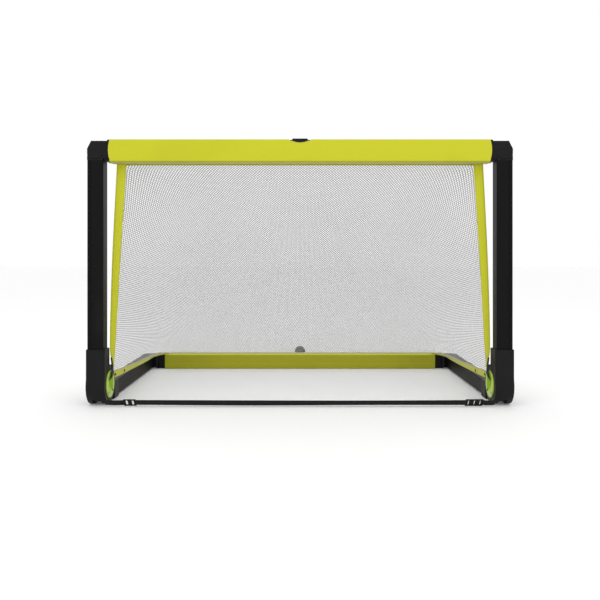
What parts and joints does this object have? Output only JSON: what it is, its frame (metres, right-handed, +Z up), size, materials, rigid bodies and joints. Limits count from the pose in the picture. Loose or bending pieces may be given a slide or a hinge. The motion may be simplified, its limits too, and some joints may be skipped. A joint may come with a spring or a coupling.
{
  "type": "pop up goal",
  "caption": "Portable folding football goal: sleeved crossbar and rear beam, hinged telescopic arms, grip discs in the lower corners and a sloping fine net.",
  "frame": {"origin": "on the ground under the middle of the bounding box", "axes": "+Z up, +Y from the open mouth to the rear beam, +X to the right seen from the front"},
  "size_m": [1.2, 0.7656, 0.7531],
  "materials": {
    "black_plastic": "moulded, fine satin texture",
    "black_tube": "black anodised aluminium, satin",
    "grey_plastic": "dark grey, ribbed",
    "green_plastic": "satin lime green",
    "lime_fabric": "woven polyester, lime yellow",
    "net_mesh": "fine knotless netting, pale grey",
    "webbing": "black woven webbing",
    "steel": "plated steel",
    "black_steel": "black oxide"
  },
  "bodies": {
    "crossbar": {"crossbar_channel": "black_tube", "crossbar_sleeve": "lime_fabric", "crossbar_stop": "black_plastic", "crossbar_bezel": "black_plastic", "crossbar_button_spring": "steel", "crossbar_flap": "lime_fabric", "crossbar_collar_left": "black_plastic", "crossbar_collar_right": "black_plastic", "net_back": "net_mesh", "net_side_left": "net_mesh", "net_side_right": "net_mesh", "side_band_left": "lime_fabric", "side_band_right": "lime_fabric"},
    "crossbar_button": {"crossbar_button": "black_plastic"},
    "rear_beam": {"rear_channel": "black_tube", "rear_cover": "lime_fabric", "rear_stop": "black_plastic", "rear_bezel": "black_plastic", "rear_button_spring": "steel", "rear_flap": "lime_fabric", "rear_collar_left": "black_plastic", "rear_collar_right": "black_plastic"},
    "rear_button": {"rear_button": "grey_plastic"},
    "left_slider": {"elbow_slider_left": "black_plastic", "elbow_pin_left": "black_steel"},
    "rear_left_slider": {"rear_slider_left": "black_plastic", "rear_stub_pins_left": "black_steel"},
    "left_post": {"post_head_left": "black_plastic", "post_tube_left": "black_tube", "corner_housing_left": "black_plastic", "grip_disc_left": "green_plastic", "grip_screws_left": "black_steel", "pull_tab_left": "webbing", "strap_loop": "webbing"},
    "left_side_bar": {"side_knuckle_left": "black_plastic", "side_tube_left": "black_tube", "side_head_left": "black_plastic", "bar_band_left": "lime_fabric", "band_rivets_left": "black_steel"},
    "right_slider": {"elbow_slider_right": "black_plastic", "elbow_pin_right": "black_steel"},
    "rear_right_slider": {"rear_slider_right": "black_plastic", "rear_stub_pins_right": "black_steel"},
    "right_post": {"post_head_right": "black_plastic", "post_tube_right": "black_tube", "corner_housing_right": "black_plastic", "grip_disc_right": "green_plastic", "grip_screws_right": "black_steel", "pull_tab_right": "webbing", "strap_tail": "webbing", "strap_buckle": "black_plastic", "ground_strap": "webbing", "strap_hook": "black_plastic"},
    "right_side_bar": {"side_knuckle_right": "black_plastic", "side_tube_right": "black_tube", "side_head_right": "black_plastic", "bar_band_right": "lime_fabric", "band_rivets_right": "black_steel"}
  },
  "joints": [
    {"name": "base_fold", "type": "hinge", "parent": "crossbar", "child": "rear_beam", "pos_m": [0, -0.3273, 0.0555], "axis": [1, 0, 0], "range_deg": [0, 90], "deforming": ["net_back", "net_side_left", "net_side_right", "side_band_left", "side_band_right", "rear_flap", "bar_band_left", "bar_band_right", "band_rivets_left", "band_rivets_right", "pull_tab_left", "pull_tab_right"]},
    {"name": "left_elbow", "type": "hinge", "parent": "left_slider", "child": "left_post", "pos_m": [-0.5745, -0.3553, 0.723], "axis": [0, 1, 0], "range_deg": [0, 90], "deforming": ["net_back", "net_side_left", "net_side_right", "side_band_left", "side_band_right", "crossbar_flap", "rear_flap", "bar_band_left", "bar_band_right", "band_rivets_left", "band_rivets_right", "pull_tab_left", "pull_tab_right", "strap_loop", "strap_tail", "ground_strap", "strap_buckle", "strap_hook"]},
    {"name": "right_elbow", "type": "hinge", "parent": "right_slider", "child": "right_post", "pos_m": [0.5745, -0.3553, 0.723], "axis": [0, -1, 0], "range_deg": [0, 90]},
    {"name": "left_slide", "type": "slide", "parent": "crossbar", "child": "left_slider", "axis": [1, 0, 0], "range_m": [0, 0.49]},
    {"name": "right_slide", "type": "slide", "parent": "crossbar", "child": "right_slider", "axis": [-1, 0, 0], "range_m": [0, 0.49]},
    {"name": "left_disc", "type": "hinge", "parent": "left_post", "child": "left_side_bar", "pos_m": [-0.5745, -0.3273, 0.0555], "axis": [1, 0, 0], "range_deg": [0, 90]},
    {"name": "right_disc", "type": "hinge", "parent": "right_post", "child": "right_side_bar", "pos_m": [0.5745, -0.3273, 0.0555], "axis": [1, 0, 0], "range_deg": [0, 90]},
    {"name": "rear_left_slide", "type": "slide", "parent": "rear_beam", "child": "rear_left_slider", "axis": [1, 0, 0], "range_m": [0, 0.49]},
    {"name": "rear_right_slide", "type": "slide", "parent": "rear_beam", "child": "rear_right_slider", "axis": [-1, 0, 0], "range_m": [0, 0.49]},
    {"name": "crossbar_press", "type": "slide", "parent": "crossbar", "child": "crossbar_button", "axis": [0, 0, -1], "range_m": [0, 0.0025], "stiffness_N_per_m": 400, "springref_m": -0.002, "deforming": ["crossbar_button_spring"]},
    {"name": "rear_press", "type": "slide", "parent": "rear_beam", "child": "rear_button", "axis": [0, -1, 0], "range_m": [0, 0.0025], "stiffness_N_per_m": 400, "springref_m": -0.002, "deforming": ["rear_button_spring"]}
  ],
  "couplings": [
    {"joint": "left_disc", "follows": "base_fold", "ratio": 1},
    {"joint": "right_disc", "follows": "base_fold", "ratio": 1},
    {"joint": "right_elbow", "follows": "left_elbow", "ratio": 1},
    {"joint": "left_slide", "follows": "left_elbow", "m_per_rad": 0.3119},
    {"joint": "right_slide", "follows": "left_elbow", "m_per_rad": 0.3119},
    {"joint": "rear_left_slide", "follows": "left_elbow", "m_per_rad": 0.3119},
    {"joint": "rear_right_slide", "follows": "left_elbow", "m_per_rad": 0.3119}
  ]
}
